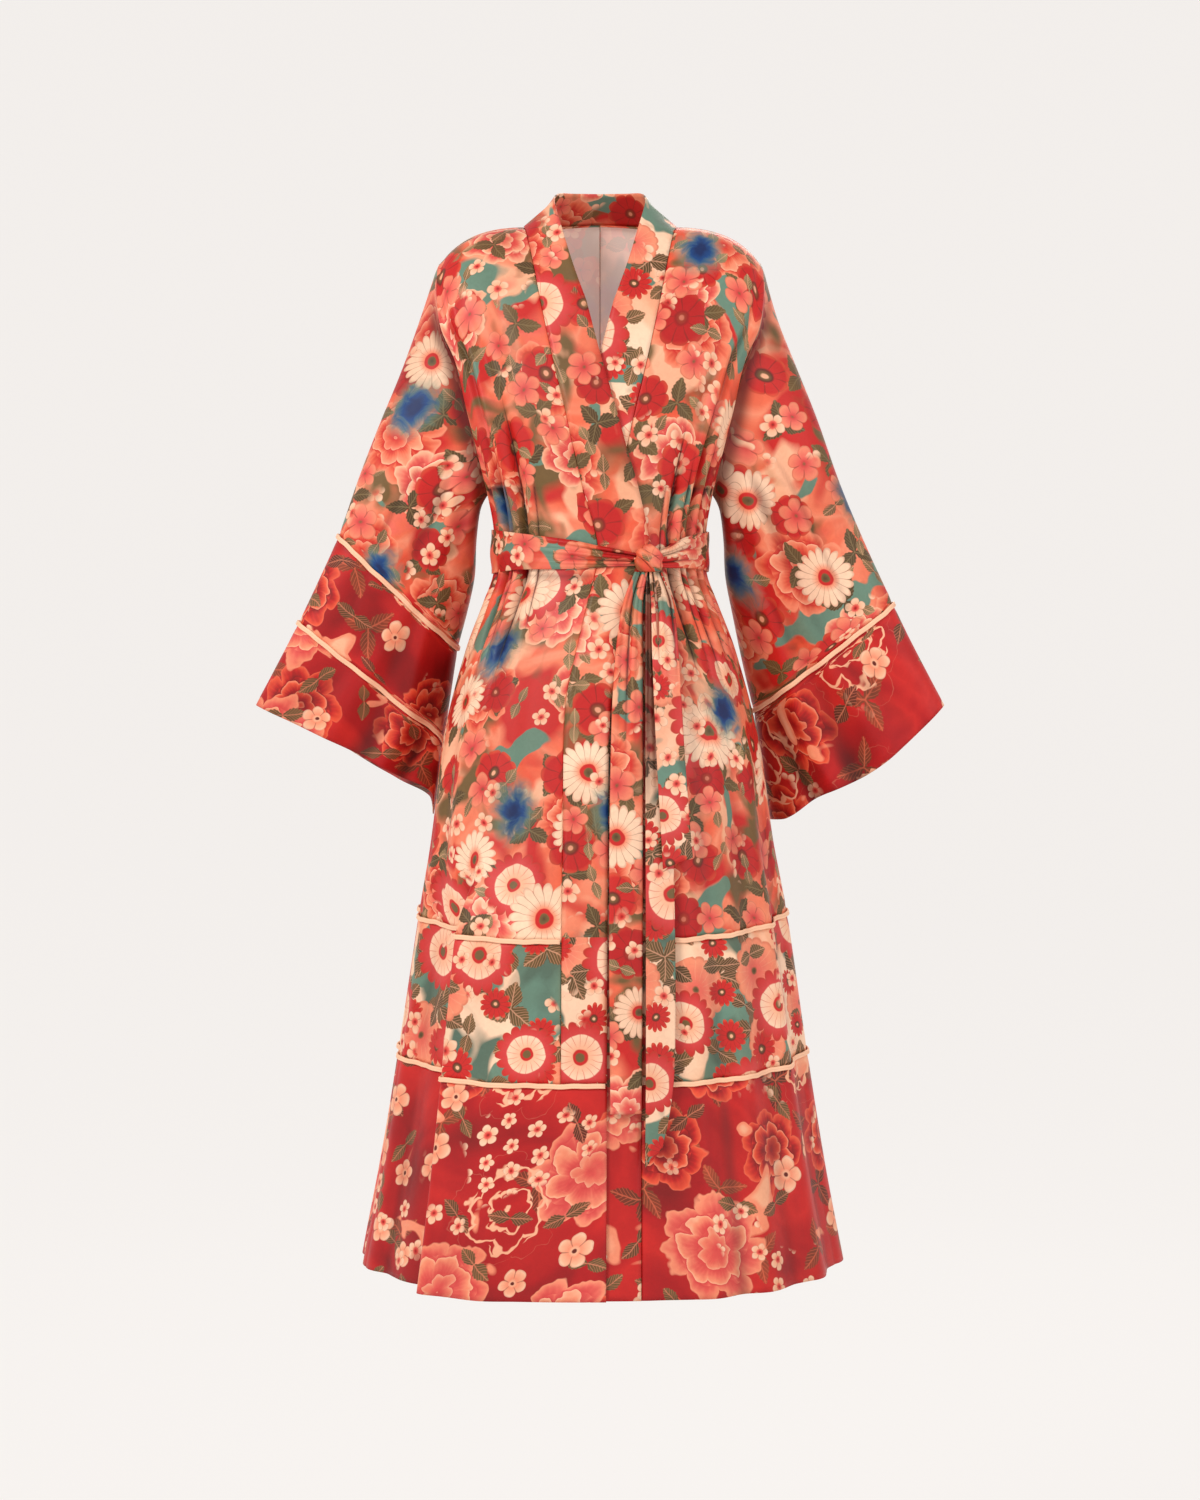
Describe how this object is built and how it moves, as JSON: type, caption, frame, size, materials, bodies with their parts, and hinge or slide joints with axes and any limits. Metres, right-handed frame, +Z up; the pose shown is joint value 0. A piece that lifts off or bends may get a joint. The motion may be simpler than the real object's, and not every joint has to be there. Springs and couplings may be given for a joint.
{
  "type": "full-length kimono robe with belt, filled out with no wearer",
  "caption": "Full-length kimono robe in its worn shape: crossed front with a long neck band, wide sleeves, tied belt, tiered skirt and piping.",
  "frame": {"origin": "on the shoulder line at the centre of the neck, where the wearer's shoulders hold the robe up", "axes": "+Z up along the robe, -Y out of its front, +X towards the wearer's left side"},
  "size_m": [0.839, 0.4783, 1.3009],
  "materials": {
    "main_print": "light satin weave with a soft sheen, coral ground with a printed floral",
    "tier_print": "light satin weave with a soft sheen, cream and teal ground with large printed flowers",
    "red_print": "light satin weave with a soft sheen, deep red ground with printed flowers",
    "band_print": "doubled satin weave, coral and cream printed floral",
    "piping": "smooth bias-cut satin piping, peach"
  },
  "bodies": {
    "root": {"front_right": "main_print", "front_left": "main_print", "back_right": "main_print", "back_left": "main_print", "tier_right": "tier_print", "tier_left": "tier_print", "tier_back": "tier_print", "hem_right": "red_print", "hem_left": "red_print", "hem_back": "red_print", "front_band": "band_print", "sleeve_right": "main_print", "sleeve_right_band": "red_print", "cuff_right": "red_print", "sleeve_left": "main_print", "cuff_left": "red_print", "piping_right_upper": "piping", "piping_right_lower": "piping", "piping_left": "piping", "piping_skirt_upper": "piping", "piping_skirt_lower": "piping", "belt_wrap": "band_print", "belt_knot": "band_print", "belt_near_tail": "band_print", "belt_short_end": "band_print", "belt_long_tail": "band_print"}
  },
  "joints": []
}
